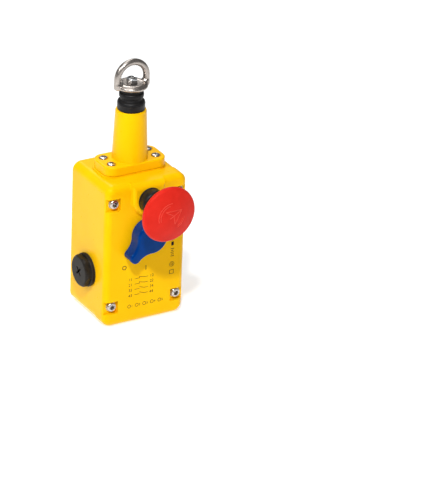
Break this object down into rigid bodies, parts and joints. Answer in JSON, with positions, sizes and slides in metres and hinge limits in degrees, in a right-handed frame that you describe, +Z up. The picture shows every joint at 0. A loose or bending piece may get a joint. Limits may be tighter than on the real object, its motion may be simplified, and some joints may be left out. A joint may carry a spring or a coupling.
{
  "type": "rope pull switch",
  "caption": "Rope pull safety switch: box housing with cover, tapered snout, sprung rod with eye, reset knob and mushroom button.",
  "frame": {"origin": "on the rope axis, in the plane of the housing's bottom face, at the mouth of the bottom cable entry", "axes": "+Z up along the rope axis towards the eye, -Y out of the cover with the knob and the button, +X to the right seen from the cover"},
  "size_m": [0.0673, 0.0827, 0.1812],
  "materials": {
    "yellow_paint": "smooth gloss paint on die-cast zinc",
    "gasket_rubber": "matte",
    "zinc_steel": "zinc plated",
    "brass_bush": "turned",
    "plug_plastic": "moulded, fine grain",
    "chassis_steel": "zinc plated sheet",
    "block_plastic": "moulded",
    "window_glass": "clear polycarbonate",
    "gaiter_rubber": "satin",
    "spring_steel": "drawn wire",
    "stainless": "polished stainless",
    "nut_zinc": "bright zinc",
    "cam_plastic": "natural acetal",
    "pointer_plastic": "bright",
    "blue_plastic": "gloss",
    "red_plastic": "satin",
    "plunger_plastic": "satin"
  },
  "bodies": {
    "housing": {"base_housing": "yellow_paint", "lid": "yellow_paint", "lid_gasket": "gasket_rubber", "lid_screws": "zinc_steel", "snout": "yellow_paint", "snout_gasket": "gasket_rubber", "snout_screws": "zinc_steel", "rod_bush": "brass_bush", "conduit_plug": "plug_plastic", "plug_seal": "gasket_rubber", "chassis_plate": "chassis_steel", "chassis_screws": "zinc_steel", "contact_block_left": "block_plastic", "contact_block_right": "block_plastic", "terminal_screws": "zinc_steel", "earth_screw": "zinc_steel", "window_lens": "window_glass", "estop_bush": "plug_plastic", "knob_seal": "gasket_rubber", "rope_gaiter": "gaiter_rubber", "main_spring": "spring_steel", "estop_gaiter": "gaiter_rubber", "estop_spring": "spring_steel"},
    "rod": {"pull_rod": "stainless", "eye_nut": "stainless", "lock_nut": "nut_zinc", "spring_plate": "stainless", "rod_circlips": "spring_steel", "cam_sleeve": "cam_plastic", "tension_pointer": "pointer_plastic"},
    "knob": {"reset_knob": "blue_plastic", "knob_shaft": "stainless", "latch_cam": "cam_plastic", "knob_circlip": "spring_steel"},
    "button": {"estop_button": "red_plastic", "estop_stem": "stainless", "estop_circlip": "spring_steel"},
    "left_plunger": {"plunger_left": "plunger_plastic"},
    "right_plunger": {"plunger_right": "plunger_plastic"}
  },
  "joints": [
    {"name": "rope_pull", "type": "slide", "parent": "housing", "child": "rod", "axis": [0, 0, 1], "range_m": [0, 0.012], "stiffness_N_per_m": 9000, "deforming": ["main_spring", "rope_gaiter"]},
    {"name": "knob_turn", "type": "hinge", "parent": "housing", "child": "knob", "pos_m": [0, -0.0255, 0.065], "axis": [0, -1, 0], "range_deg": [0, 45]},
    {"name": "button_push", "type": "slide", "parent": "housing", "child": "button", "axis": [0, 1, 0], "range_m": [0, 0.005], "stiffness_N_per_m": 3000, "deforming": ["estop_gaiter", "estop_spring"]},
    {"name": "left_contact", "type": "slide", "parent": "housing", "child": "left_plunger", "axis": [-1, 0, 0], "range_m": [0, 0.0013]},
    {"name": "right_contact", "type": "slide", "parent": "housing", "child": "right_plunger", "axis": [1, 0, 0], "range_m": [0, 0.0013]}
  ],
  "couplings": [
    {"joint": "left_contact", "follows": "rope_pull", "ratio": 0.10714},
    {"joint": "right_contact", "follows": "rope_pull", "ratio": 0.10714}
  ]
}
